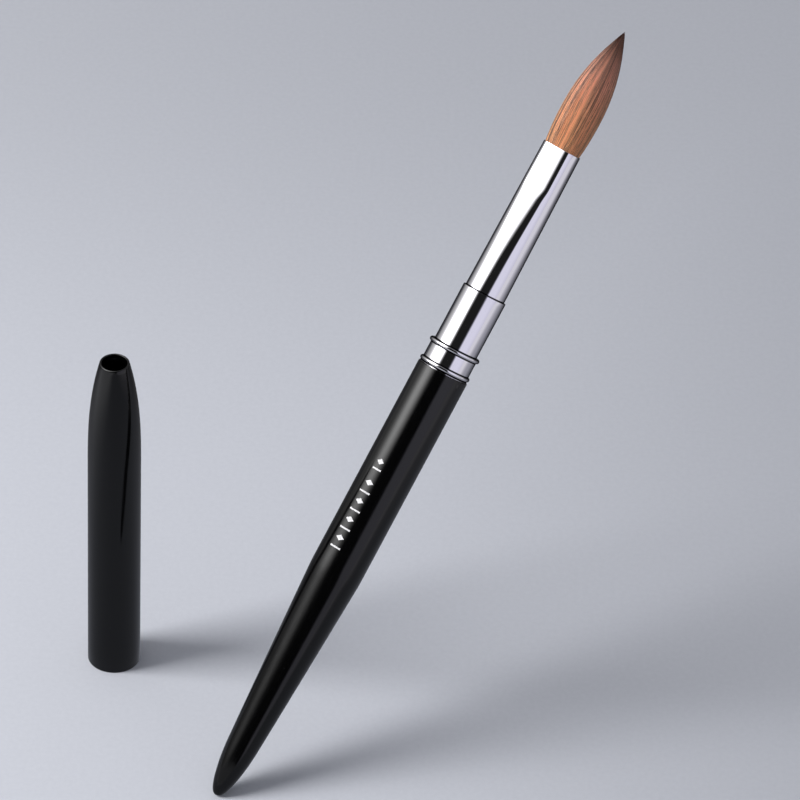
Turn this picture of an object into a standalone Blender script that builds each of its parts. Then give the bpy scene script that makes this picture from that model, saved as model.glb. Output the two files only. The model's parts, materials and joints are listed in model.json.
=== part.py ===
"""Acrylic nail brush with its cap, as separate solids for /opt/lang/build.

The brush leans with its tail on the surface, and the cap stands beside it on its own mouth.
Metres, +Z up. The origin is where the tail touches the surface. Along the brush every
station is a distance from the tail; along the cap it is a height above its mouth.
"""
import math

import bpy
from mathutils import Matrix, Vector

MM = 0.001

# ---- How the two pieces stand -------------------------------------------------------
LEAN = math.radians(41.65)        # of the brush, from upright
HEADING = math.radians(48.82)     # the way the brush leans, from +X towards +Y
TWIST = math.radians(-80.0)       # turns the ferrule's pressed flats to the front left
CAP_X, CAP_Y = -23.15 * MM, 42.0 * MM

# ---- Driving sizes ------------------------------------------------------------------
GAP = 0.12 * MM                   # left between two pieces that are pressed or glued together

HANDLE_R = 5.5 * MM
HANDLE_WALL = 0.6 * MM
HANDLE_TOP = 97.7 * MM
TAPER_TOP = 51.5 * MM             # the handle is straight above this station
TAPER_POWER = 0.907               # below 1, so the taper swells a little
TAIL_CONE_R = 2.6 * MM            # the taper's radius if it ran on to the very tail
TAIL_ROUND = 11.5 * MM            # length of the rounded tail
TAIL_POWER = 0.39                 # how blunt the rounded tail is
TAIL_WALL = 4.0 * MM              # solid metal left at the drawn shell's closed end

SOCKET_FLOOR = 88.0 * MM          # where collar and ferrule end inside the handle
PLUG_BOTTOM = 70.0 * MM
PLUG_TOP = 116.2 * MM

COLLAR_BORE_R = 4.49 * MM
LIP_R = 5.35 * MM
BAND_R = 5.12 * MM
SLEEVE_R = 4.76 * MM
BEAD_R = 0.47 * MM                # radius of a rolled bead's own round section
LOWER_BEAD = 98.5 * MM            # stations of the two beads
UPPER_BEAD = 102.7 * MM
LOWER_BEAD_OUT = 5.57 * MM        # how far out they reach
UPPER_BEAD_OUT = 5.60 * MM
SLEEVE_TOP = 115.6 * MM

FERRULE_R = 4.37 * MM
FERRULE_MOUTH_R = 4.08 * MM
FERRULE_WALL = 0.3 * MM
FERRULE_MOUTH = 148.6 * MM
# Two flats are pressed into the ferrule. Their reach is the share of the radius they cut in
# from. It falls slowly from the sleeve up, and then quickly where the crimp itself starts.
CRIMP_START = 136.8 * MM
CRIMP_FULL = 140.2 * MM
REACH_AT_SLEEVE = 1.3
REACH_AT_CRIMP = 0.86
REACH_FULL = 0.78
CRIMP_EDGE = 12                   # how sharply a flat turns into the round sides

TIP = 175.4 * MM
BELLY = 7.2 * MM                  # above the mouth
BELLY_R = 4.22 * MM
GLUE_BOTTOM = 121.0 * MM
ROOTS_BOTTOM = 126.5 * MM
ROOTS_R = 3.58 * MM
THREAD_BOTTOM = 129.0 * MM
THREAD_R = 0.4 * MM               # one turn of the binding thread
THREAD_TURNS = 4
ROOTS_WAIST_R = 3.2 * MM         # where the thread pulls the bundle in

CAP_R = 5.43 * MM
CAP_WALL = 0.28 * MM
CAP_LENGTH = 78.0 * MM
CAP_NOSE = 26.0 * MM              # length of the curved nose
CAP_NOSE_R = 3.0 * MM
CAP_HOLE_R = 2.6 * MM
CAP_NOSE_POWER = 2.7              # how full the nose's curve is
LINER_BOTTOM = 0.8 * MM
LINER_TOP = 15.0 * MM
LINER_RUN = 0.07 * MM             # sliding clearance on the sleeve

STEPS = 32                        # facets around a turned piece
SHARP = math.radians(35.0)        # edges sharper than this stay crisp


# ---- Helpers ------------------------------------------------------------------------
def clear_scene():
    for obj in list(bpy.data.objects):
        bpy.data.objects.remove(obj, do_unlink=True)


def new_collection(name):
    collection = bpy.data.collections.new(name)
    bpy.context.scene.collection.children.link(collection)
    return collection


def empty(name, collection, matrix):
    obj = bpy.data.objects.new(name, None)
    obj.empty_display_size = 5 * MM
    obj.matrix_world = matrix
    collection.objects.link(obj)
    return obj


def material(name, colour, metallic, roughness):
    mat = bpy.data.materials.new(name)
    mat.use_nodes = True
    shader = mat.node_tree.nodes["Principled BSDF"]
    shader.inputs["Base Color"].default_value = (*colour, 1.0)
    shader.inputs["Metallic"].default_value = metallic
    shader.inputs["Roughness"].default_value = roughness
    mat.diffuse_color = (*colour, 1.0)
    return mat


def turned(name, profile, closed, parent, station, mat, collection, steps=STEPS):
    """A turned piece from (radius, station) points that run down its outer side.

    A closed profile is the section of a tube; an open one starts and ends on the axis.
    """
    sketch = bpy.data.meshes.new(name + "_sketch")
    edges = [(i, i + 1) for i in range(len(profile) - 1)]
    if closed:
        edges.append((len(profile) - 1, 0))
    sketch.from_pydata([(r, 0.0, z - station) for r, z in profile], edges, [])
    lathe = bpy.data.objects.new(name + "_lathe", sketch)
    collection.objects.link(lathe)
    screw = lathe.modifiers.new("Screw", "SCREW")
    screw.steps = screw.render_steps = steps
    screw.use_merge_vertices = True
    screw.merge_threshold = 0.001 * MM
    mesh = bpy.data.meshes.new_from_object(
        lathe.evaluated_get(bpy.context.evaluated_depsgraph_get()))
    bpy.data.objects.remove(lathe, do_unlink=True)
    bpy.data.meshes.remove(sketch)
    mesh.name = name
    mesh.shade_smooth()
    mesh.set_sharp_from_angle(angle=SHARP)
    mesh.materials.clear()
    mesh.materials.append(mat)
    obj = bpy.data.objects.new(name, mesh)
    obj.parent = parent
    obj.location = (0.0, 0.0, station)
    collection.objects.link(obj)
    return obj


def smooth_ramp(value, start, end):
    t = min(max((value - start) / (end - start), 0.0), 1.0)
    return t * t * (3 - 2 * t)


def spread(start, end, count):
    return [start + (end - start) * i / (count - 1) for i in range(count)]


# ---- Outlines -----------------------------------------------------------------------
def handle_radius(z):
    """The handle's outer radius: a rounded tail, a long taper, then straight."""
    radius = TAIL_CONE_R + (HANDLE_R - TAIL_CONE_R) * min(z / TAPER_TOP, 1.0) ** TAPER_POWER
    if z < TAIL_ROUND:
        radius *= (1 - (1 - z / TAIL_ROUND) ** 2) ** TAIL_POWER
    return radius


def ferrule_radius(z):
    """The ferrule's outer radius: straight inside the sleeve, tapered above it."""
    above = max(z - SLEEVE_TOP, 0.0) / (FERRULE_MOUTH - SLEEVE_TOP)
    return FERRULE_R + (FERRULE_MOUTH_R - FERRULE_R) * above


def tuft_radius(z):
    """The hair's radius at a station above the ferrule's mouth, ending in a point."""
    up = (z - FERRULE_MOUTH) / (TIP - FERRULE_MOUTH)
    belly = BELLY / (TIP - FERRULE_MOUTH)
    root_r = FERRULE_MOUTH_R - FERRULE_WALL - GAP
    if up < belly:
        return root_r + (BELLY_R - root_r) * math.sin(up / belly * math.pi / 2) ** 0.6
    fall = (up - belly) / (1 - belly)
    return BELLY_R * max(1 - fall ** 2.3, 0.0) ** 1.1


def cap_radius(z):
    """The cap's outer radius at a height above its mouth."""
    into_nose = max(z - (CAP_LENGTH - CAP_NOSE), 0.0) / CAP_NOSE
    return CAP_R - (CAP_R - CAP_NOSE_R) * into_nose ** CAP_NOSE_POWER


def crimp(obj, press):
    """Press two flats, on the front and the back, into a turned piece.

    press(station) gives the flats' reach there and how much of them is applied.
    """
    for vertex in obj.data.vertices:
        x, y, z = vertex.co
        radius = math.hypot(x, y)
        if radius < 1e-9:
            continue
        reach, amount = press(z + obj.location.z)
        cut = (1 + (abs(y) / radius / reach) ** CRIMP_EDGE) ** (-1 / CRIMP_EDGE)
        vertex.co.y = y * (1 + (cut - 1) * amount)


def ferrule_press(z):
    if z < SLEEVE_TOP:
        return REACH_AT_SLEEVE, 0.0
    up = min((z - SLEEVE_TOP) / (CRIMP_START - SLEEVE_TOP), 1.0)
    reach = REACH_AT_SLEEVE + (REACH_AT_CRIMP - REACH_AT_SLEEVE) * up ** 0.6
    return reach + (REACH_FULL - REACH_AT_CRIMP) * smooth_ramp(z, CRIMP_START, CRIMP_FULL), 1.0


def tuft_press(z):
    return REACH_FULL, 1 - smooth_ramp(z, FERRULE_MOUTH, FERRULE_MOUTH + 2.5 * BELLY)


# ---- The brush ----------------------------------------------------------------------
def lowest_point():
    """How far the leaning handle's tail reaches below the point where its axis starts."""
    reach = [handle_radius(z) * math.sin(LEAN) - z * math.cos(LEAN)
             for z in spread(0.0, TAIL_ROUND, 200)]
    return max(reach)


def brush_placement():
    turn = (Matrix.Rotation(HEADING, 4, "Z") @ Matrix.Rotation(LEAN, 4, "Y")
            @ Matrix.Rotation(TWIST, 4, "Z"))
    return Matrix.Translation(Vector((0.0, 0.0, lowest_point()))) @ turn


def handle_shell(axis, mats, parts):
    outer = [0.0, 0.15 * MM, 0.6 * MM, 1.5 * MM, 3.0 * MM, 5.5 * MM, TAIL_ROUND]
    outer += spread(TAIL_ROUND, TAPER_TOP, 5)[1:]
    outer.append(HANDLE_TOP)
    inner = [TAIL_WALL, 1.2 * TAIL_WALL, 2 * TAIL_ROUND, TAPER_TOP, HANDLE_TOP]
    edge = 0.1 * MM
    profile = [(handle_radius(HANDLE_TOP) - edge, HANDLE_TOP)]
    profile += [(handle_radius(z), z - edge if z == HANDLE_TOP else z) for z in reversed(outer)]
    profile += [(0.0 if z == TAIL_WALL else handle_radius(z) - HANDLE_WALL, z) for z in inner]
    # The outline runs from the rim down the outside to the tail, then up the inside.
    return turned("handle_shell", profile, True, axis, 0.0, mats["black_lacquer"], parts)


def bead(station, reach):
    """Points around a rolled bead, from its upper root to its lower root."""
    centre = reach - BEAD_R
    angles = [math.radians(a) for a in (75, 45, 15, -15, -45, -75)]
    return [(centre + BEAD_R * math.cos(a), station + BEAD_R * math.sin(a)) for a in angles]


def collar_sleeve(axis, mats, parts):
    seat = HANDLE_TOP + GAP
    spigot_r = HANDLE_R - HANDLE_WALL - GAP
    round_r = 0.08 * MM
    profile = [(SLEEVE_R - round_r, SLEEVE_TOP), (SLEEVE_R, SLEEVE_TOP - round_r),
               (SLEEVE_R, UPPER_BEAD + BEAD_R)]
    profile += bead(UPPER_BEAD, UPPER_BEAD_OUT)
    profile += [(BAND_R, UPPER_BEAD - BEAD_R), (BAND_R, LOWER_BEAD + BEAD_R)]
    profile += bead(LOWER_BEAD, LOWER_BEAD_OUT)
    profile += [(LIP_R, seat), (spigot_r, seat), (spigot_r, SOCKET_FLOOR),
                (COLLAR_BORE_R, SOCKET_FLOOR), (COLLAR_BORE_R, SLEEVE_TOP)]
    return turned("collar_sleeve", profile, True, axis, SOCKET_FLOOR, mats["chrome"], parts)


def joining_plug(axis, mats, parts):
    shoulder = SOCKET_FLOOR - GAP
    body_r = HANDLE_R - HANDLE_WALL - GAP
    nose_r = FERRULE_R - FERRULE_WALL - GAP
    chamfer = 0.5 * MM
    profile = [(0.0, PLUG_TOP), (nose_r - chamfer, PLUG_TOP), (nose_r, PLUG_TOP - 3 * chamfer),
               (nose_r, shoulder), (body_r, shoulder), (body_r, PLUG_BOTTOM + chamfer),
               (body_r - chamfer, PLUG_BOTTOM), (0.0, PLUG_BOTTOM)]
    return turned("joining_plug", profile, False, axis, PLUG_BOTTOM, mats["plug_plastic"], parts)


def ferrule(axis, mats, parts):
    stations = [SOCKET_FLOOR, SLEEVE_TOP - GAP, SLEEVE_TOP + 1.4 * MM]
    stations += spread(SLEEVE_TOP + 4 * MM, CRIMP_START, 6)
    stations += [*spread(CRIMP_START, CRIMP_FULL, 4)[1:], FERRULE_MOUTH]
    outer = [(ferrule_radius(z), z) for z in reversed(stations)]
    inner = [(ferrule_radius(z) - FERRULE_WALL, z) for z in stations]
    obj = turned("ferrule", outer + inner, True, axis, SOCKET_FLOOR, mats["chrome"], parts)
    crimp(obj, ferrule_press)
    return obj


def glue_plug(axis, mats, parts):
    top = ROOTS_BOTTOM - GAP

    def radius(z):
        return ferrule_radius(z) - FERRULE_WALL - GAP
    profile = [(0.0, top), (radius(top), top), (radius(GLUE_BOTTOM), GLUE_BOTTOM),
               (0.0, GLUE_BOTTOM)]
    obj = turned("glue_plug", profile, False, axis, GLUE_BOTTOM, mats["epoxy"], parts)
    crimp(obj, ferrule_press)
    return obj


def hair_roots(axis, mats, parts):
    top = FERRULE_MOUTH - GAP
    waist_low = THREAD_BOTTOM - THREAD_R
    waist_high = THREAD_BOTTOM + (2 * THREAD_TURNS + 1) * THREAD_R
    profile = [(0.0, top), (ROOTS_R, top), (ROOTS_R, CRIMP_FULL), (ROOTS_R, CRIMP_START),
               (ROOTS_R, waist_high + THREAD_R), (ROOTS_WAIST_R, waist_high),
               (ROOTS_WAIST_R, waist_low), (ROOTS_R, waist_low - THREAD_R),
               (ROOTS_R, ROOTS_BOTTOM), (0.0, ROOTS_BOTTOM)]
    obj = turned("hair_roots", profile, False, axis, ROOTS_BOTTOM, mats["hair_root"], parts)
    crimp(obj, ferrule_press)
    return obj


def binding_thread(axis, mats, parts):
    """The thread's turns lie side by side, so they are one ring with a ribbed outside."""
    inside = ROOTS_WAIST_R + GAP
    profile = []
    for turn in reversed(range(THREAD_TURNS)):
        middle = THREAD_BOTTOM + (2 * turn + 1) * THREAD_R
        for angle in (math.radians(a) for a in (60, 0, -60)):
            profile.append((inside + THREAD_R / 2 + THREAD_R / 2 * math.cos(angle),
                            middle + THREAD_R * math.sin(angle)))
    bottom = THREAD_BOTTOM
    top = THREAD_BOTTOM + 2 * THREAD_TURNS * THREAD_R
    profile += [(inside, bottom), (inside, top)]
    obj = turned("binding_thread", profile, True, axis, THREAD_BOTTOM, mats["thread"], parts)
    crimp(obj, ferrule_press)
    return obj


def hair_tuft(axis, mats, parts):
    base = FERRULE_MOUTH + GAP
    stations = [base + 0.6 * MM, base + 1.8 * MM, base + 4.0 * MM]
    stations += spread(FERRULE_MOUTH + BELLY, TIP, 9)[:-1]
    profile = [(0.0, TIP), (0.12 * MM, TIP - 0.3 * MM)]
    profile += [(tuft_radius(z), z) for z in reversed(stations)]
    profile += [(tuft_radius(base), base), (0.0, base)]
    obj = turned("hair_tuft", profile, False, axis, FERRULE_MOUTH, mats["sable_hair"], parts)
    crimp(obj, tuft_press)
    return obj


# ---- The cap ------------------------------------------------------------------------
def cap_shell(axis, mats, parts):
    nose = spread(CAP_LENGTH - CAP_NOSE, CAP_LENGTH, 8)
    edge = 0.08 * MM
    outer = [(CAP_NOSE_R - edge, CAP_LENGTH), (CAP_NOSE_R, CAP_LENGTH - edge)]
    outer += [(cap_radius(z), z) for z in reversed(nose[:-1])]
    outer += [(CAP_R, edge), (CAP_R - edge, 0.0)]
    inner = [(CAP_R - CAP_WALL, 0.0)]
    inner += [(cap_radius(z) - CAP_WALL, z) for z in nose[:-1]]
    inner += [(CAP_HOLE_R, CAP_LENGTH - CAP_WALL), (CAP_HOLE_R, CAP_LENGTH)]
    return turned("cap_shell", outer + inner, True, axis, 0.0, mats["black_lacquer"], parts)


def cap_liner(axis, mats, parts):
    outside = CAP_R - CAP_WALL - GAP
    inside = SLEEVE_R + LINER_RUN
    lead_in = 0.12 * MM
    profile = [(outside, LINER_TOP), (outside, LINER_BOTTOM),
               (inside + lead_in, LINER_BOTTOM), (inside, LINER_BOTTOM + 5 * lead_in),
               (inside, LINER_TOP)]
    return turned("cap_liner", profile, True, axis, LINER_BOTTOM, mats["liner_plastic"], parts)


def build():
    clear_scene()
    parts = new_collection("acrylic_nail_brush")
    mats = {
        "black_lacquer": material("black_lacquer", (0.012, 0.012, 0.014), 0.0, 0.12),
        "chrome": material("chrome", (0.83, 0.83, 0.85), 1.0, 0.06),
        "plug_plastic": material("plug_plastic", (0.62, 0.60, 0.56), 0.0, 0.5),
        "epoxy": material("epoxy", (0.55, 0.42, 0.20), 0.0, 0.25),
        "sable_hair": material("sable_hair", (0.33, 0.15, 0.07), 0.0, 0.45),
        "hair_root": material("hair_root", (0.40, 0.24, 0.13), 0.0, 0.55),
        "thread": material("thread", (0.75, 0.72, 0.65), 0.0, 0.7),
        "liner_plastic": material("liner_plastic", (0.03, 0.03, 0.03), 0.0, 0.45),
    }
    brush_axis = empty("brush_axis", parts, brush_placement())
    cap_axis = empty("cap_axis", parts, Matrix.Translation(Vector((CAP_X, CAP_Y, 0.0))))
    for make in (handle_shell, collar_sleeve, joining_plug, ferrule, glue_plug, hair_roots,
                 binding_thread, hair_tuft):
        make(brush_axis, mats, parts)
    for make in (cap_shell, cap_liner):
        make(cap_axis, mats, parts)
    bpy.context.view_layer.update()


build()
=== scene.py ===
"""Looks for the acrylic nail brush and its cap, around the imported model.

Everything is in metres. The visible shells are turned again here in fine steps, from the
same outlines as the CAD, and the hair is made of separate strands.
"""
import json
import math

import bpy
import numpy as np
from mathutils import Matrix, Vector

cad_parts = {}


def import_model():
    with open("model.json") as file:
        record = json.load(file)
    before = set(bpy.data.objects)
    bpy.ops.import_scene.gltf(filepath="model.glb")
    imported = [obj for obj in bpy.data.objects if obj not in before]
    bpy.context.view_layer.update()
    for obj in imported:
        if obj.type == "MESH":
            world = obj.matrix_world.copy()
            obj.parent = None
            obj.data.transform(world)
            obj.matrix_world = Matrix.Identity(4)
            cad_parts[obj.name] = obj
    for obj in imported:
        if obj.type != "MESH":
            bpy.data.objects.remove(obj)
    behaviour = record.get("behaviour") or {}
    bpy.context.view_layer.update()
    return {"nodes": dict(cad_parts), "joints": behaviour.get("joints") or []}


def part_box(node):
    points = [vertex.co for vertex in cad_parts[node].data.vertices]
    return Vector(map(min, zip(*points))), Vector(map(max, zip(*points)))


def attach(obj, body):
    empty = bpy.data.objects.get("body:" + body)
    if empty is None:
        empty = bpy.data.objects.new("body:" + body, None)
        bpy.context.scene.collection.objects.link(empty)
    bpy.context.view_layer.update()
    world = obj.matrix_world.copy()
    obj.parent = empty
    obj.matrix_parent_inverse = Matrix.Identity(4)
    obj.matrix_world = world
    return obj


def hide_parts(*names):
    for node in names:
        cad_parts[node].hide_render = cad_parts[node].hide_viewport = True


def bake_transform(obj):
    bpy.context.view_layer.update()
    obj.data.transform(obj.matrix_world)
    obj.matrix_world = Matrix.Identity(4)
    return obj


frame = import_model()

MM = 0.001

# ---- Sizes, as the CAD has them -----------------------------------------------------
LEAN = math.radians(41.65)
HEADING = math.radians(48.82)
TWIST = math.radians(-80.0)
GAP = 0.12 * MM

HANDLE_R = 5.5 * MM
HANDLE_WALL = 0.6 * MM
HANDLE_TOP = 97.7 * MM
TAPER_TOP = 51.5 * MM
TAPER_POWER = 0.907
TAIL_CONE_R = 2.6 * MM
TAIL_ROUND = 11.5 * MM
TAIL_POWER = 0.39

COLLAR_BORE_R = 4.49 * MM
LIP_R = 5.35 * MM
BAND_R = 5.12 * MM
SLEEVE_R = 4.76 * MM
BEAD_R = 0.47 * MM
LOWER_BEAD, LOWER_BEAD_OUT = 98.5 * MM, 5.57 * MM
UPPER_BEAD, UPPER_BEAD_OUT = 102.7 * MM, 5.60 * MM
SLEEVE_TOP = 115.6 * MM

FERRULE_R = 4.37 * MM
FERRULE_MOUTH_R = 4.08 * MM
FERRULE_WALL = 0.3 * MM
FERRULE_MOUTH = 148.6 * MM
CRIMP_START, CRIMP_FULL = 136.8 * MM, 140.2 * MM
REACH_AT_SLEEVE, REACH_AT_CRIMP, REACH_FULL = 1.3, 0.86, 0.78
REACH_POWER = 0.6
CRIMP_EDGE = 12

TIP = 175.4 * MM
BELLY = 7.2 * MM
BELLY_R = 4.22 * MM
ROUND_AGAIN = 2.5 * BELLY         # past the mouth, where the pressed tuft is round again
SWELL_POWER, FALL_POWER, POINT_POWER = 0.6, 2.3, 1.1

CAP_WALL = 0.28 * MM
CAP_NOSE = 26.0 * MM
CAP_NOSE_R = 3.0 * MM
CAP_HOLE_R = 2.6 * MM
CAP_NOSE_POWER = 2.7
LINER_BOTTOM, LINER_TOP = 0.8 * MM, 15.0 * MM
LINER_RUN = 0.07 * MM

STEPS = 144                       # around a turned piece
SHARP = math.radians(32.0)        # a steeper edge than this is drawn sharp
ON_AXIS = 1e-7                    # a smaller radius than this is a point on the axis


# ---- Where the brush and the cap stand, from the frame ------------------------------
def brush_placement():
    turn = (Matrix.Rotation(HEADING, 4, "Z") @ Matrix.Rotation(LEAN, 4, "Y")
            @ Matrix.Rotation(TWIST, 4, "Z"))
    flex = next(j for j in frame["joints"] if j["name"] == "hair_flex")
    start = Vector(flex["pos_m"]) - turn.to_3x3() @ Vector((0, 0, FERRULE_MOUTH))
    return Matrix.Translation(start) @ turn


BRUSH = brush_placement()
CAP_LOW, CAP_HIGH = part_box("cap_shell")
CAP = Matrix.Translation(Vector(((CAP_LOW.x + CAP_HIGH.x) / 2, (CAP_LOW.y + CAP_HIGH.y) / 2,
                                 CAP_LOW.z)))
CAP_LENGTH = CAP_HIGH.z - CAP_LOW.z
CAP_R = (CAP_HIGH.x - CAP_LOW.x) / 2
FACING = math.radians(-149.0) - TWIST      # the side of the brush that faces the camera


# ---- Helpers ------------------------------------------------------------------------
def spread(start, end, count):
    return [start + (end - start) * i / (count - 1) for i in range(count)]


def smooth_ramp(value, start, end):
    t = min(max((value - start) / (end - start), 0.0), 1.0)
    return t * t * (3 - 2 * t)


def put(name, data):
    """A new object in the scene."""
    obj = bpy.data.objects.new(name, data)
    bpy.context.scene.collection.objects.link(obj)
    return obj


def smooth_mesh(name, verts, faces):
    mesh = bpy.data.meshes.new(name)
    mesh.from_pydata(verts, [], faces)
    mesh.shade_smooth()
    return mesh


def put_piece(mesh, placement):
    """A piece whose mesh is moved to its place, so that the object sits at the origin."""
    mesh.transform(placement)
    return put(mesh.name, mesh)


def turned(name, outline, placement, press=None):
    """A fine turned shell from (radius, station) points that run down its outer side.

    The last point joins the first.
    """
    verts, rings = [], []
    for radius, z in outline:
        if radius < ON_AXIS:
            rings.append([len(verts)] * STEPS)
            verts.append((0.0, 0.0, z))
            continue
        rings.append(list(range(len(verts), len(verts) + STEPS)))
        for i in range(STEPS):
            verts.append(flattened(radius, 2 * math.pi * i / STEPS, z, press))
    faces = []
    for upper, lower in zip(rings, rings[1:] + rings[:1]):
        for i in range(STEPS):
            k = (i + 1) % STEPS
            corners = dict.fromkeys((upper[i], lower[i], lower[k], upper[k]))
            if len(corners) > 2:
                faces.append(list(corners))
    mesh = smooth_mesh(name, verts, faces)
    mesh.set_sharp_from_angle(angle=SHARP)
    return put_piece(mesh, placement)


def rounded(corner, before, after, radius, count=5):
    """Points that round a corner of an outline between two neighbouring points."""
    corner, before, after = Vector(corner), Vector(before), Vector(after)
    start = corner + (before - corner).normalized() * radius
    end = corner + (after - corner).normalized() * radius
    points = []
    for i in range(count):
        t = i / (count - 1)
        point = start * (1 - t) ** 2 + corner * 2 * t * (1 - t) + end * t ** 2
        points.append((point.x, point.y))
    return points


def top_rim(radius, z, edge):
    """The rounded outer edge of a turned piece's flat top, from the inside out."""
    return rounded((radius, z), (radius - 1 * MM, z), (radius, z - 1 * MM), edge)


# ---- Outlines -----------------------------------------------------------------------
def handle_radius(z):
    radius = TAIL_CONE_R + (HANDLE_R - TAIL_CONE_R) * min(z / TAPER_TOP, 1.0) ** TAPER_POWER
    if z < TAIL_ROUND:
        radius *= (1 - (1 - z / TAIL_ROUND) ** 2) ** TAIL_POWER
    return radius


def ferrule_radius(z):
    above = max(z - SLEEVE_TOP, 0.0) / (FERRULE_MOUTH - SLEEVE_TOP)
    return FERRULE_R + (FERRULE_MOUTH_R - FERRULE_R) * above


def tuft_radius(z):
    up = (z - FERRULE_MOUTH) / (TIP - FERRULE_MOUTH)
    belly = BELLY / (TIP - FERRULE_MOUTH)
    root_r = FERRULE_MOUTH_R - FERRULE_WALL - GAP
    if up < belly:
        swell = math.sin(max(up, 0) / belly * math.pi / 2) ** SWELL_POWER
        return root_r + (BELLY_R - root_r) * swell
    fall = (up - belly) / (1 - belly)
    return BELLY_R * max(1 - fall ** FALL_POWER, 0.0) ** POINT_POWER


def cap_radius(z):
    into_nose = max(z - (CAP_LENGTH - CAP_NOSE), 0.0) / CAP_NOSE
    return CAP_R - (CAP_R - CAP_NOSE_R) * into_nose ** CAP_NOSE_POWER


def flattened(radius, angle, z, press=None):
    """A point of a section that the crimp has pressed front to back.

    press(station) gives the flats' reach, as a share of the radius, and how much is applied.
    """
    x, y = radius * math.cos(angle), radius * math.sin(angle)
    if press:
        reach, amount = press(z)
        cut = (1 + (abs(math.sin(angle)) / reach) ** CRIMP_EDGE) ** (-1 / CRIMP_EDGE)
        y *= 1 + (cut - 1) * amount
    return (x, y, z)


def ferrule_press(z):
    if z < SLEEVE_TOP:
        return REACH_AT_SLEEVE, 0.0
    up = min((z - SLEEVE_TOP) / (CRIMP_START - SLEEVE_TOP), 1.0)
    reach = REACH_AT_SLEEVE + (REACH_AT_CRIMP - REACH_AT_SLEEVE) * up ** REACH_POWER
    return reach + (REACH_FULL - REACH_AT_CRIMP) * smooth_ramp(z, CRIMP_START, CRIMP_FULL), 1.0


def tuft_press(z):
    return REACH_FULL, 1 - smooth_ramp(z, FERRULE_MOUTH, FERRULE_MOUTH + ROUND_AGAIN)


# ---- Materials ----------------------------------------------------------------------
class Nodes:
    """A material's nodes, added one short line at a time."""

    def __init__(self, name):
        self.mat = bpy.data.materials.new(name)
        self.mat.use_nodes = True
        self.tree = self.mat.node_tree

    def node(self, kind, **values):
        node = self.tree.nodes.new(kind)
        for key, value in values.items():
            if key in node.inputs:
                node.inputs[key].default_value = value
            else:
                setattr(node, key, value)
        return node

    def link(self, source, target):
        self.tree.links.new(source, target)

    def feed(self, socket, value):
        """Link or set a socket, as the value is another socket, a number or a colour."""
        if isinstance(value, bpy.types.NodeSocket):
            self.link(value, socket)
        elif isinstance(value, (int, float)):
            socket.default_value = value
        else:
            socket.default_value = (*value, 1.0)

    def split(self, vector):
        """The X, Y and Z outputs of a vector."""
        parts = self.node("ShaderNodeSeparateXYZ")
        self.link(vector, parts.inputs[0])
        return parts.outputs

    def math(self, operation, *values):
        node = self.node("ShaderNodeMath", operation=operation)
        for socket, value in zip(node.inputs, values):
            self.feed(socket, value)
        return node.outputs[0]

    def span(self, value, start, end, low=0.0, high=1.0, shape="LINEAR"):
        """A value carried from start..end to low..high, and held at both ends."""
        node = self.node("ShaderNodeMapRange", interpolation_type=shape)
        for name, number in (("From Min", start), ("From Max", end),
                             ("To Min", low), ("To Max", high)):
            node.inputs[name].default_value = number
        self.link(value, node.inputs["Value"])
        return node.outputs["Result"]

    def ramp(self, value, stops, ease=False):
        """Colour stops as (position, grey or colour)."""
        ramp = self.node("ShaderNodeValToRGB")
        if ease:
            ramp.color_ramp.interpolation = "EASE"
        elements = ramp.color_ramp.elements
        while len(elements) < len(stops):
            elements.new(0.5)
        for element, (position, colour) in zip(elements, stops):
            colour = (colour,) * 3 if isinstance(colour, (int, float)) else colour
            element.position = position
            element.color = (*colour, 1.0)
        self.link(value, ramp.inputs["Fac"])
        return ramp.outputs["Color"]

    def mix(self, factor, first, second, blend="MIX"):
        node = self.node("ShaderNodeMix", data_type="RGBA", blend_type=blend)
        for index, value in ((0, factor), (6, first), (7, second)):
            self.feed(node.inputs[index], value)
        return node.outputs[2]


class Shader(Nodes):
    """A Principled material whose textures lie along the piece's own axis."""

    def __init__(self, name, base, metallic=0.0, roughness=0.5, placement=None, **sockets):
        super().__init__(name)
        self.placement = placement or Matrix.Identity(4)
        self.bsdf = self.tree.nodes["Principled BSDF"]
        self.bsdf.inputs["Base Color"].default_value = (*base, 1.0)
        self.bsdf.inputs["Metallic"].default_value = metallic
        self.bsdf.inputs["Roughness"].default_value = roughness
        for socket, value in sockets.items():
            self.bsdf.inputs[socket.replace("_", " ")].default_value = value

    def coords(self, scale=(1, 1, 1)):
        """Coordinates along the piece's own axis, stretched by scale."""
        place = self.node("ShaderNodeTexCoord")
        own = self.node("ShaderNodeMapping", vector_type="TEXTURE")
        own.inputs["Location"].default_value = self.placement.to_translation()
        own.inputs["Rotation"].default_value = self.placement.to_euler()
        stretch = self.node("ShaderNodeMapping")
        stretch.inputs["Scale"].default_value = scale
        self.link(place.outputs["Object"], own.inputs["Vector"])
        self.link(own.outputs["Vector"], stretch.inputs["Vector"])
        return stretch.outputs["Vector"]

    def noise(self, vector, scale, detail, roughness=0.5):
        noise = self.node("ShaderNodeTexNoise", Scale=scale, Detail=detail, Roughness=roughness)
        self.link(vector, noise.inputs["Vector"])
        return noise.outputs["Fac"]

    def bump(self, height, distance, strength):
        bump = self.node("ShaderNodeBump", Distance=distance, Strength=strength)
        self.link(height, bump.inputs["Height"])
        return bump.outputs["Normal"]

    def into(self, output, socket):
        self.link(output, self.bsdf.inputs[socket])


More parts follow.
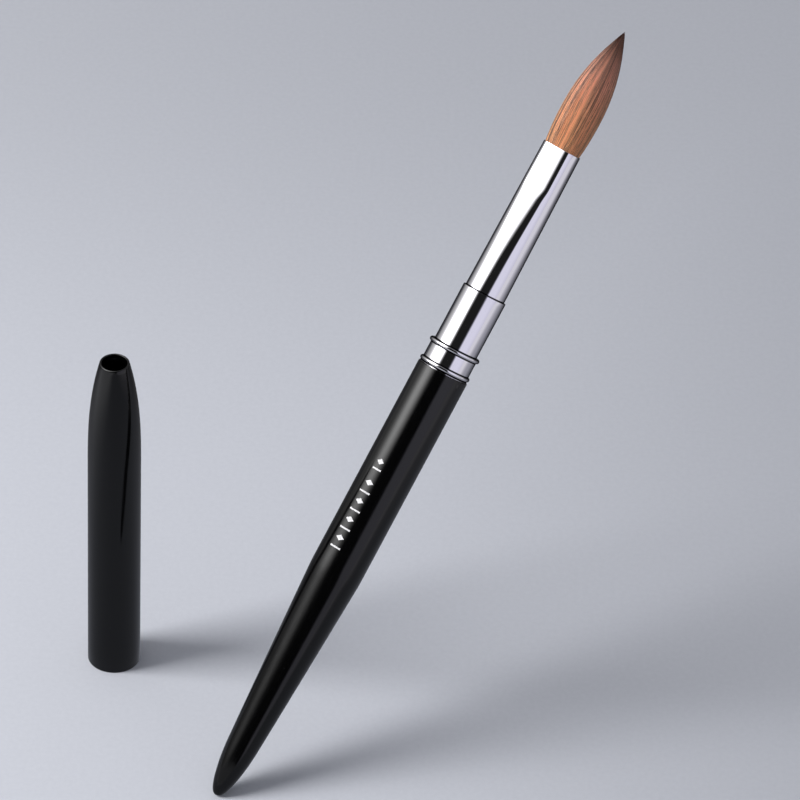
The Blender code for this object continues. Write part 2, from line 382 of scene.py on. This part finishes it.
INK = (0.0012, 0.0012, 0.0014)
DUST = (0.10, 0.10, 0.11)
CHROME_COLOUR = (0.88, 0.87, 0.91)
# Painted shade: the chrome's base colour is drawn dark at the crevices by the beads and at the
# sleeve's top.
CREVICE_PAINTED_SHADE = (0.014, 0.014, 0.016)
SHADE_FULL, SHADE_END = 0.09 * MM, 0.22 * MM     # how far the painted shade reaches out of a crevice
CREVICES = (SLEEVE_TOP + 0.10 * MM, UPPER_BEAD + BEAD_R, UPPER_BEAD - BEAD_R,
            LOWER_BEAD + BEAD_R, LOWER_BEAD - BEAD_R)
FLOOR_PAINTED_FALL = 0.85                 # painted shade: how dark the floor gets at the back and the right
FLOOR_PAINTED_BY_LIGHT = 0.42             # and to the left of the picture, beside the light, where painted shade tones down its pool


def lacquer_material(name, roughness, placement):
    """Gloss black lacquer: a faint orange peel, fine rub marks and a few dust specks."""
    s = Shader(name, INK, roughness=roughness, placement=placement, IOR=1.5)
    peel = s.noise(s.coords(), 700.0, 2.0)
    rub = s.noise(s.coords((1, 1, 0.12)), 2600.0, 3.0)
    s.into(s.ramp(rub, [(0.35, roughness * 0.8), (0.75, roughness * 1.5)]), "Roughness")
    s.into(s.bump(peel, 0.004 * MM, 0.35), "Normal")
    specks = s.node("ShaderNodeTexVoronoi", Scale=420.0)
    s.link(s.coords(), specks.inputs["Vector"])
    dust = s.ramp(specks.outputs["Distance"], [(0.0, 1.0), (0.035, 0.0)])
    patchy = s.ramp(s.noise(s.coords(), 160.0, 1.0), [(0.56, 0.0), (0.62, 1.0)])
    s.into(s.mix(s.mix(1.0, dust, patchy, "MULTIPLY"), INK, DUST), "Base Color")
    return s.mat


def chrome_material():
    """Bright chrome plate: fine turning marks, duller patches and painted shade in the
    crevices.
    """
    s = Shader("chrome_plate", CHROME_COLOUR, metallic=1.0, roughness=0.05,
               placement=BRUSH, Specular_Tint=(0.05, 0.05, 0.06, 1.0))
    turning = s.noise(s.coords((0.02, 0.02, 1)), 9000.0, 3.0)
    haze = s.noise(s.coords(), 260.0, 4.0, 0.6)
    dull = s.ramp(haze, [(0.40, 0.035), (0.78, 0.11)])
    marks = s.ramp(turning, [(0.45, 0.0), (0.75, 0.03)])
    s.into(s.mix(1.0, dull, marks, "ADD"), "Roughness")
    s.into(s.bump(turning, 0.0006 * MM, 0.5), "Normal")
    # Painted shade: the base colour darkens near each crevice, where shade falls.
    station = s.split(s.coords())["Z"]
    nearest = None
    for crevice in CREVICES:
        away = s.math("ABSOLUTE", s.math("SUBTRACT", station, crevice))
        nearest = away if nearest is None else s.math("MINIMUM", nearest, away)
    unshaded = s.span(nearest, SHADE_FULL, SHADE_END)
    s.into(s.mix(unshaded, CREVICE_PAINTED_SHADE, CHROME_COLOUR), "Base Color")
    return s.mat


def hair_material(name, dark):
    """Sable: golden brown at the root, red-brown along the belly, dark at the point."""
    s = Shader(name, (0.35, 0.16, 0.07), roughness=0.38, IOR=1.55, Diffuse_Roughness=1.0)
    along = s.node("ShaderNodeAttribute", attribute_name="along")
    tone = s.node("ShaderNodeAttribute", attribute_name="tone")
    length = s.ramp(along.outputs["Fac"], [
        (0.0, (0.56, 0.285, 0.14)), (0.30, (0.52, 0.255, 0.135)),
        (0.60, (0.48, 0.235, 0.155)), (0.76, (0.36, 0.17, 0.115)),
        (0.87, (0.175, 0.072, 0.042)), (1.0, (0.125, 0.050, 0.032))])
    shade = s.ramp(tone.outputs["Fac"], [(0.0, 0.16), (0.45, 0.85), (1.0, 2.1)])
    colour = s.mix(1.0, length, shade, "MULTIPLY")
    # dark scales the whole colour; the core's 0.6 is painted shade.
    s.into(s.mix(1.0, colour, (dark, dark, dark), "MULTIPLY"), "Base Color")
    return s.mat


def print_material():
    """White ink, worn a little thin."""
    s = Shader("white_print", (0.82, 0.82, 0.84), roughness=0.45)
    worn = s.noise(s.coords(), 2500.0, 3.0)
    s.into(s.ramp(worn, [(0.3, (0.62, 0.62, 0.64)), (0.6, (0.85, 0.85, 0.87))]), "Base Color")
    return s.mat


def moulded_material(name, colour):
    """A plain colour with a fine grain."""
    s = Shader(name, colour, roughness=0.45)
    grain = s.noise(s.coords(), 3000.0, 3.0)
    s.into(s.ramp(grain, [(0.3, 0.38), (0.7, 0.55)]), "Roughness")
    s.into(s.bump(grain, 0.01 * MM, 0.4), "Normal")
    return s.mat


def floor_material():
    """Pale paper, with painted shade that darkens it gently to the back, to the right and
    beside the light.
    """
    s = Shader("floor_paper", (0.60, 0.62, 0.66), roughness=0.7)
    fibre = s.noise(s.coords(), 900.0, 5.0, 0.6)
    paper = s.ramp(fibre, [(0.3, (0.575, 0.598, 0.665)), (0.7, (0.605, 0.628, 0.695))])
    place = s.split(s.coords())
    # Painted shade: the paper darkens to the right, to the back and beside the light.
    right = s.span(place["X"], 0.0, 0.14, 1.0, FLOOR_PAINTED_FALL, "SMOOTHSTEP")
    back = s.span(place["Y"], 0.08, 0.27, 1.0, FLOOR_PAINTED_FALL, "SMOOTHSTEP")
    by_light = s.span(place["X"], -0.11, -0.42, 1.0, FLOOR_PAINTED_BY_LIGHT, "SMOOTHSTEP")
    fall = s.mix(1.0, s.mix(1.0, right, back, "DARKEN"), by_light, "MULTIPLY")
    s.into(s.mix(1.0, paper, fall, "MULTIPLY"), "Base Color")
    return s.mat


LACQUER = lacquer_material("black_lacquer_handle", 0.13, BRUSH)
CAP_LACQUER = lacquer_material("black_lacquer_cap", 0.10, CAP)
CHROME = chrome_material()


def dress(obj, mat, body, node):
    """Give a piece its material and its body, and hide the CAD node it stands for."""
    obj.data.materials.append(mat)
    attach(obj, body)
    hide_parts(node)


# ---- The handle and its mark --------------------------------------------------------
def handle():
    edge = 0.12 * MM
    tail = [TAIL_ROUND * (1 - math.cos(a)) for a in spread(0, math.pi / 2, 26)]
    body = spread(TAIL_ROUND, HANDLE_TOP - edge, 60)[1:]
    outer = [(handle_radius(z), z) for z in reversed(tail + body)]
    rim = top_rim(HANDLE_R, HANDLE_TOP, edge)
    bore = HANDLE_R - HANDLE_WALL
    inner = [(0.0, TAPER_TOP), (bore, TAPER_TOP + 0.01 * MM), (bore, HANDLE_TOP)]
    obj = turned("handle_outer", rim + outer + inner, BRUSH)
    dress(obj, LACQUER, "brush", "handle_shell")


def on_handle(station, angle, lift):
    """A point on the handle's surface, at a station and an angle round it."""
    radius = handle_radius(station) + lift
    return (radius * math.cos(angle), radius * math.sin(angle), station)


MARK_FACING = FACING - math.radians(27.5)
MARK_START, MARK_STEP, MARK_PAIRS = 56.6 * MM, 4.2 * MM, 4
MARK_TOP = 74.4 * MM              # the pair that stands apart
MARK_LIFT = 0.012 * MM            # the thickness of the print
MARK_COLUMNS = 8                  # across each shape
BAR_HALF = 0.17 * MM
LOZENGE_HALF = 0.62 * MM


def handle_mark():
    """A plain printed row of bars and lozenges along the handle, with one pair above it."""
    verts, faces = [], []

    def shape(station, half_width, half_length):
        """half_length(share) is half the shape's length along the handle, across its width."""
        first = len(verts)
        for i in range(MARK_COLUMNS + 1):
            share = -1 + 2 * i / MARK_COLUMNS
            angle = MARK_FACING + share * half_width / HANDLE_R
            for sign in (-1, 1):
                z = station + sign * half_length(abs(share))
                verts.append(on_handle(z, angle, MARK_LIFT))
        for i in range(MARK_COLUMNS):
            a = first + 2 * i
            faces.append((a, a + 2, a + 3, a + 1))

    def pair(station, gap, bar_width, lozenge_width):
        shape(station, bar_width, lambda share: BAR_HALF)
        shape(station + gap, lozenge_width, lambda share: LOZENGE_HALF * max(1 - share, 0.02))

    for i in range(MARK_PAIRS):
        pair(MARK_START + MARK_STEP * i, MARK_STEP / 2, 1.25 * MM, 0.95 * MM)
    pair(MARK_TOP, 1.7 * MM, 1.05 * MM, 0.8 * MM)
    obj = put_piece(smooth_mesh("handle_mark", verts, faces), BRUSH)
    obj.data.materials.append(print_material())
    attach(obj, "brush")


# ---- The collar, sleeve and ferrule -------------------------------------------------
def bead(station, reach):
    """The outline of a rolled bead, from its upper side round to its lower side."""
    centre = reach - BEAD_R
    return [(centre + BEAD_R * math.cos(a), station + BEAD_R * math.sin(a))
            for a in spread(math.radians(80), math.radians(-80), 15)]


def collar():
    seat = HANDLE_TOP + GAP
    outline = top_rim(SLEEVE_R, SLEEVE_TOP, 0.1 * MM)
    outline += [(SLEEVE_R, z) for z in spread(SLEEVE_TOP - 1 * MM, UPPER_BEAD + 1 * MM, 8)]
    outline += [(SLEEVE_R, UPPER_BEAD + BEAD_R)] + bead(UPPER_BEAD, UPPER_BEAD_OUT)
    outline += [(BAND_R, z) for z in spread(UPPER_BEAD - BEAD_R, LOWER_BEAD + BEAD_R, 5)]
    outline += bead(LOWER_BEAD, LOWER_BEAD_OUT)
    neck = HANDLE_R - HANDLE_WALL - GAP
    outline += [(LIP_R, seat), (neck, seat), (neck, seat - 3 * MM),
                (COLLAR_BORE_R, seat - 3 * MM), (COLLAR_BORE_R, SLEEVE_TOP)]
    obj = turned("collar_and_sleeve", outline, BRUSH)
    dress(obj, CHROME, "brush", "collar_sleeve")


def ferrule():
    stations = [SLEEVE_TOP - 3 * MM, *spread(SLEEVE_TOP, SLEEVE_TOP + 4 * MM, 9)]
    stations += spread(SLEEVE_TOP + 4 * MM, CRIMP_START, 20)[1:]
    stations += spread(CRIMP_START, CRIMP_FULL, 14)[1:]
    stations += spread(CRIMP_FULL, FERRULE_MOUTH, 8)[1:]
    outer = [(ferrule_radius(z), z) for z in reversed(stations[:-1])]
    mouth = top_rim(FERRULE_MOUTH_R, FERRULE_MOUTH, 0.09 * MM)
    inner = [(ferrule_radius(z) - FERRULE_WALL, z) for z in stations]
    obj = turned("ferrule_tube", mouth + outer + inner, BRUSH, ferrule_press)
    dress(obj, CHROME, "brush", "ferrule")


def put_hair(name, verts, faces, along, tone, mat):
    """Hair, with each point's share of the length and its tone kept for the material."""
    mesh = smooth_mesh(name, verts, faces)
    for attribute, values in (("along", along), ("tone", tone)):
        mesh.attributes.new(attribute, "FLOAT", "POINT").data.foreach_set(
            "value", np.asarray(values, np.float32))
    obj = put_piece(mesh, BRUSH)
    obj.data.materials.append(mat)
    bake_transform(obj)
    return obj


CORE_AROUND, CORE_ROWS = 240, 56
CORE_SHARE = 0.95                 # of the tuft's radius
CORE_START, CORE_END = FERRULE_MOUTH - 0.6 * MM, TIP - 0.5 * MM


def tuft_core(rng):
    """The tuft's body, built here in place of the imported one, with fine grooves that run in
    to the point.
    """
    grooves = rng.uniform(0.93, 1.0, CORE_AROUND)
    tones = rng.uniform(0.15, 0.75, CORE_AROUND)
    verts, along, tone = [], [], []
    for row in range(CORE_ROWS):
        t = row / (CORE_ROWS - 1)
        z = CORE_START + (CORE_END - CORE_START) * t
        base = min(tuft_radius(max(z, FERRULE_MOUTH)), tuft_radius(z)) * CORE_SHARE
        for i in range(CORE_AROUND):
            angle = 2 * math.pi * i / CORE_AROUND
            verts.append(flattened(base * grooves[i], angle, z, tuft_press))
            along.append(t)
            tone.append(tones[i])
    faces = [(r * CORE_AROUND + i, r * CORE_AROUND + (i + 1) % CORE_AROUND,
              (r + 1) * CORE_AROUND + (i + 1) % CORE_AROUND, (r + 1) * CORE_AROUND + i)
             for r in range(CORE_ROWS - 1) for i in range(CORE_AROUND)]
    faces.append(tuple(reversed(range(CORE_AROUND))))
    faces.append(tuple((CORE_ROWS - 1) * CORE_AROUND + i for i in range(CORE_AROUND)))
    # The core is drawn at 0.6 of the hairs' colour: painted shade inside the tuft, under the
    # outer hairs.
    mat = hair_material("sable_core", 0.6)
    core = put_hair("tuft_core", verts, faces, along, tone, mat)
    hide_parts("hair_tuft")


STRANDS = 1900
STRAND_R = 0.085 * MM
STRAND_SHARE = (0.945, 1.0)       # of the tuft's radius
STRAND_REACH = (0.80, 1.0)        # of the tuft's length
STRAND_ROWS = 12
STRAND_SIDES = 3
STRAND_START = FERRULE_MOUTH - 0.9 * MM
STRAND_WAVE = 0.05                # radians that a strand wanders round the tuft
STRAND_SWAY = 0.05                # millimetres that its point leans aside, at most
GOLDEN = 0.618034                 # of a turn from each strand to the next
LOCKS, LOCK_TONE = 80, 0.28       # groups of strands, and how far their tones differ
MIDDLE_TONE, TONE_SPREAD = 0.45, 0.2
PAINTED_LIGHT_SIDE = FACING + math.radians(31.0)    # the middle of the painted light that makes the front hairs paler
PAINTED_LIGHT_WIDTH, PAINTED_LIGHT_GAIN = 0.70, 0.29        # how far round the painted light reaches, and how much paler it makes them
PALE_HAIRS = 0.08                 # share of the hairs that are the palest


def strand_path(rng, share, angle, reach):
    """One hair's centre line: out of the ferrule, along the belly and in to the point."""
    points = []
    wave = rng.uniform(0, 2 * math.pi)
    sway = rng.uniform(0.0, STRAND_SWAY) * MM
    end = FERRULE_MOUTH + (TIP - FERRULE_MOUTH) * reach
    for t in spread(0.0, 1.0, STRAND_ROWS):
        z = STRAND_START + (end - STRAND_START) * t
        radius = tuft_radius(max(z, FERRULE_MOUTH)) * share
        turn = angle + STRAND_WAVE * math.sin(wave + 5 * t)
        x, y, z = flattened(radius, turn, z, tuft_press)
        points.append((x + sway * t * math.cos(wave), y + sway * t * math.sin(wave), z))
    return points


def strand_tone(rng, angle, lock):
    """How pale a hair is, from 0 to 1: random locks and hairs, with painted light on the front.
    """
    off = math.remainder(angle - PAINTED_LIGHT_SIDE, 2 * math.pi) / PAINTED_LIGHT_WIDTH
    # Painted light: hairs round the front of the tuft are made paler, as lit hair looks.
    pale = PAINTED_LIGHT_GAIN * math.exp(-off ** 2)
    tone = min(max(rng.normal(MIDDLE_TONE + lock + pale, TONE_SPREAD), 0.0), 1.0)
    return 1.0 if rng.random() < PALE_HAIRS else tone


def strands(rng):
    """The tuft's outer hairs, each a thin three-sided tube that runs to a point."""
    verts, faces, along, tone = [], [], [], []
    locks = rng.uniform(-LOCK_TONE, LOCK_TONE, LOCKS)
    for n in range(STRANDS):
        angle = 2 * math.pi * (n * GOLDEN % 1.0) + rng.normal(0, 0.02)
        lock = locks[int(angle / (2 * math.pi) * LOCKS) % LOCKS]
        reach = rng.uniform(*STRAND_REACH)
        path = strand_path(rng, rng.uniform(*STRAND_SHARE), angle, reach)
        hair_tone = strand_tone(rng, angle, lock)
        size = STRAND_R * rng.uniform(0.7, 1.3)
        first = len(verts)
        for row, (x, y, z) in enumerate(path):
            t = row / (STRAND_ROWS - 1)
            girth = size * (1 - t ** 3) * (0.8 + 0.4 * math.sin(math.pi * t))
            for side in range(STRAND_SIDES):
                a = angle + 2 * math.pi * side / STRAND_SIDES
                verts.append((x + girth * math.cos(a), y + girth * math.sin(a), z))
                along.append((z - FERRULE_MOUTH) / (TIP - FERRULE_MOUTH))
                tone.append(hair_tone)
        for row in range(STRAND_ROWS - 1):
            for side in range(STRAND_SIDES):
                k = (side + 1) % STRAND_SIDES
                a = first + row * STRAND_SIDES
                b = a + STRAND_SIDES
                faces.append((a + side, a + k, b + k, b + side))
    mat = hair_material("sable_strands", 1.0)
    put_hair("tuft_hairs", verts, faces, along, tone, mat)


def hair():
    rng = np.random.default_rng(18)
    tuft_core(rng)
    strands(rng)


# ---- The cap ------------------------------------------------------------------------
def cap():
    edge = 0.1 * MM
    nose_edge = 0.19 * MM
    nose = spread(CAP_LENGTH - CAP_NOSE, CAP_LENGTH - nose_edge, 40)
    outer = [(cap_radius(z), z) for z in reversed(nose)]
    outer += [(CAP_R, z) for z in spread(CAP_LENGTH - CAP_NOSE - 4 * MM, 4 * MM, 10)]
    top = rounded((CAP_NOSE_R, CAP_LENGTH), (CAP_HOLE_R, CAP_LENGTH),
                  (cap_radius(CAP_LENGTH - 1 * MM), CAP_LENGTH - 1 * MM), nose_edge)
    foot = rounded((CAP_R, 0.0), (CAP_R, 1 * MM), (CAP_R - CAP_WALL, 0.0), edge)
    inner = [(CAP_R - CAP_WALL, 0.0)]
    inner += [(cap_radius(z) - CAP_WALL, z) for z in nose if z < CAP_LENGTH - 1 * MM]
    lip = rounded((CAP_HOLE_R, CAP_LENGTH), (CAP_HOLE_R, CAP_LENGTH - 1 * MM),
                  (CAP_NOSE_R, CAP_LENGTH), nose_edge)
    inner += [(CAP_HOLE_R, CAP_LENGTH - 2 * CAP_WALL)] + lip
    obj = turned("cap_outer", top + outer + foot + inner, CAP)
    dress(obj, CAP_LACQUER, "cap", "cap_shell")


def liner():
    outside = CAP_R - CAP_WALL - GAP
    inside = SLEEVE_R + LINER_RUN
    lead_in = 0.12 * MM
    outline = [(outside, LINER_TOP), (outside, LINER_BOTTOM), (inside + lead_in, LINER_BOTTOM),
               (inside, LINER_BOTTOM + 5 * lead_in), (inside, LINER_TOP)]
    obj = turned("cap_inner_sleeve", outline, CAP)
    mat = moulded_material("liner_plastic_grain", (0.03, 0.03, 0.03))
    dress(obj, mat, "cap", "cap_liner")


# ---- Inner pieces keep their CAD shape ----------------------------------------------
def inner_pieces():
    finishes = {
        "joining_plug": moulded_material("plug_plastic_grain", (0.62, 0.60, 0.56)),
        "glue_plug": moulded_material("epoxy_amber", (0.55, 0.42, 0.20)),
        "hair_roots": moulded_material("root_hair", (0.40, 0.24, 0.13)),
        "binding_thread": moulded_material("binding_thread_twist", (0.75, 0.72, 0.65)),
    }
    for name, mat in finishes.items():
        frame["nodes"][name].material_slots[0].material = mat


# ---- The studio ---------------------------------------------------------------------
CAMERA_AT = (0.0343, -0.9756, 0.8915)
CAMERA_PITCH, CAMERA_ROLL = math.radians(38.876), math.radians(2.13)
CAMERA_LENS, CAMERA_SENSOR = 292.5, 36.0


def camera():
    forward = Vector((0, math.cos(CAMERA_PITCH), -math.sin(CAMERA_PITCH)))
    flat_right = Vector((1, 0, 0))
    flat_up = flat_right.cross(forward)
    right = flat_right * math.cos(CAMERA_ROLL) + flat_up * math.sin(CAMERA_ROLL)
    up = flat_up * math.cos(CAMERA_ROLL) - flat_right * math.sin(CAMERA_ROLL)
    data = bpy.data.cameras.new("camera")
    data.lens = CAMERA_LENS
    data.sensor_width = CAMERA_SENSOR
    data.clip_start = 0.01
    cam = put("camera", data)
    turn = Matrix((right, up, -forward)).transposed().to_4x4()
    cam.matrix_world = Matrix.Translation(Vector(CAMERA_AT)) @ turn
    bpy.context.scene.camera = cam


def around_brush(degrees):
    """The world direction at an angle round the brush, from the camera's side to the right."""
    angle = FACING + math.radians(degrees)
    return BRUSH.to_3x3() @ Vector((math.cos(angle), math.sin(angle), 0.0))


class Glow(Nodes):
    """An emission material for a surface that only reflections see."""

    def __init__(self, name):
        super().__init__(name)
        self.tree.nodes.remove(self.tree.nodes["Principled BSDF"])
        self.emission = self.node("ShaderNodeEmission")
        output = self.tree.nodes["Material Output"]
        self.link(self.emission.outputs[0], output.inputs["Surface"])

    def shine(self, colour):
        self.link(colour, self.emission.inputs["Color"])


def glossy_only(obj):
    obj.visible_camera = False
    obj.visible_diffuse = False
    obj.visible_shadow = False
    obj.visible_transmission = False


WALL_R = 0.6                      # of the reflection wall, round the brush's axis
WALL_LOW, WALL_HIGH = -0.25, 1.1  # its ends, as stations along the brush
WALL_SEGMENTS = 72
WALL_SKEW = -12.0                 # degrees that the pale card turns by towards its low end
KEY_GLOSS = 6.5                   # how bright the key light is in reflections
DARK = 0.012
LILAC = (0.72, 0.71, 0.83)


def wall_material():
    """What the wall shows at each angle from the camera's side: a key light and a pale card."""
    s = Glow("reflection_wall")
    place = s.split(s.node("ShaderNodeTexCoord").outputs["UV"])

    def at(degrees):
        return (degrees + 180.0) / 360.0

    def up(station):
        return (station - WALL_LOW) / (WALL_HIGH - WALL_LOW)

    key = s.ramp(place["X"], [
        (at(-150), 0.0), (at(-129), 0.015), (at(-102), 0.065), (at(-90), 0.18),
        (at(-80), 0.43), (at(-70), 0.83), (at(-62), 1.0), (at(-54), 0.88),
        (at(-46), 0.57), (at(-38), 0.24), (at(-31), 0.035), (at(-26), 0.0)])
    key_length = s.ramp(place["Y"], [
        (up(-0.22), 0.05), (up(-0.101), 0.10), (up(-0.072), 0.18), (up(0.0), 0.43),
        (up(0.036), 0.80), (up(0.06), 1.0), (up(0.6), 1.0), (up(1.0), 0.3)])
    strength = s.node("ShaderNodeVectorMath", operation="SCALE", Scale=KEY_GLOSS)
    s.link(s.mix(1.0, key, key_length, "MULTIPLY"), strength.inputs[0])

    skew = s.span(place["Y"], up(-0.15), up(0.06), WALL_SKEW / 360.0, 0.0)
    rest = s.ramp(s.math("ADD", place["X"], skew), [
        (at(-170), 0.10), (at(-120), 0.16), (at(-60), 0.10), (at(-34), 0.06),
        (at(-27), DARK), (at(13), DARK), (at(17), (0.13, 0.13, 0.16)), (at(22), LILAC),
        (at(50), LILAC), (at(68), (0.62, 0.61, 0.72)), (at(84), (0.42, 0.41, 0.46)),
        (at(110), (0.40, 0.40, 0.43)), (at(135), 0.18), (at(170), 0.10)])
    rest_length = s.ramp(place["Y"], [(up(-0.2), 0.70), (up(0.0), 0.78), (up(0.055), 1.0)])
    s.shine(s.mix(1.0, strength.outputs[0], s.mix(1.0, rest, rest_length, "MULTIPLY"), "ADD"))
    return s.mat


def reflection_wall():
    """A wide tube round the brush's axis that only reflections see."""
    verts, faces, places = [], [], []
    for i in range(WALL_SEGMENTS + 1):
        out = around_brush(-180 + 360 * i / WALL_SEGMENTS) * WALL_R
        for station in (WALL_LOW, WALL_HIGH):
            verts.append(BRUSH @ Vector((0, 0, station)) + out)
    for i in range(WALL_SEGMENTS):
        faces.append((2 * i, 2 * i + 1, 2 * i + 3, 2 * i + 2))
        u, v = i / WALL_SEGMENTS, (i + 1) / WALL_SEGMENTS
        places += [(u, 0), (u, 1), (v, 1), (v, 0)]
    mesh = bpy.data.meshes.new("reflection_wall")
    mesh.from_pydata(verts, [], faces)
    uv = mesh.uv_layers.new(name="UVMap")
    for loop, place in zip(uv.data, places):
        loop.uv = place
    mesh.materials.append(wall_material())
    obj = put("reflection_wall", mesh)
    glossy_only(obj)


FLOOR_HALF = 3.0
# Painted shade in the floor's reflection, behind the brush.
BEHIND_BRUSH = (0.11, 0.11, 0.12)


def level(name, mat, z=0.0):
    """A wide level square."""
    mesh = bpy.data.meshes.new(name)
    half = FLOOR_HALF
    corners = [(-half, -half, z), (half, -half, z), (half, half, z), (-half, half, z)]
    mesh.from_pydata(corners, [], [(0, 1, 2, 3)])
    mesh.materials.append(mat)
    obj = put(name, mesh)
    return obj


def floor_reflection():
    """The floor as reflections see it, a painted reflection: duller in front, and dark behind
    the brush with painted shade.
    """
    s = Glow("floor_reflection")
    place = s.split(s.node("ShaderNodeTexCoord").outputs["Object"])
    front = s.ramp(s.span(place["X"], -0.20, 0.30), [
        (0.0, (0.70, 0.71, 0.75)), (0.28, (0.25, 0.26, 0.295)),
        (0.34, (0.235, 0.245, 0.28)), (0.62, (0.235, 0.245, 0.28)),
        (0.74, (0.32, 0.32, 0.36)), (1.0, (0.68, 0.67, 0.72))], ease=True)
    s.shine(s.mix(s.span(place["Y"], 0.05, 0.13), front, BEHIND_BRUSH))
    glossy_only(level("floor_reflection", s.mat, -0.05 * MM))


KEY_SIZE, KEY_POWER = (0.42, 0.55), 11.3
KEY_COLOUR = (1.0, 0.985, 0.96)
KEY_ANGLE, KEY_AWAY = -63.0, 1.0  # degrees round the brush, and its distance
LIT_POINT = (0.02, 0.04, 0.05)    # what it points at


def key_light():
    """The soft light itself, from the left, as dull surfaces and shadows see it."""
    data = bpy.data.lights.new("key_light", "AREA")
    data.shape = "RECTANGLE"
    data.size, data.size_y = KEY_SIZE
    data.energy = KEY_POWER
    data.color = KEY_COLOUR
    obj = put("key_light", data)
    towards = around_brush(KEY_ANGLE)
    turn = towards.to_track_quat("Z", "Y").to_matrix().to_4x4()
    obj.matrix_world = Matrix.Translation(Vector(LIT_POINT) + towards * KEY_AWAY) @ turn
    obj.visible_glossy = False


WORLD_COLOUR = (0.31, 0.315, 0.335)


def world():
    """An even pale light from all round."""
    scene_world = bpy.data.worlds.new("studio")
    bpy.context.scene.world = scene_world
    scene_world.use_nodes = True
    background = scene_world.node_tree.nodes["Background"]
    background.inputs["Color"].default_value = (*WORLD_COLOUR, 1.0)


def studio():
    camera()
    world()
    key_light()
    reflection_wall()
    level("floor", floor_material()).visible_glossy = False
    floor_reflection()
    bpy.context.scene.view_settings.view_transform = "Standard"


handle()
handle_mark()
collar()
ferrule()
hair()
cap()
liner()
inner_pieces()
studio()
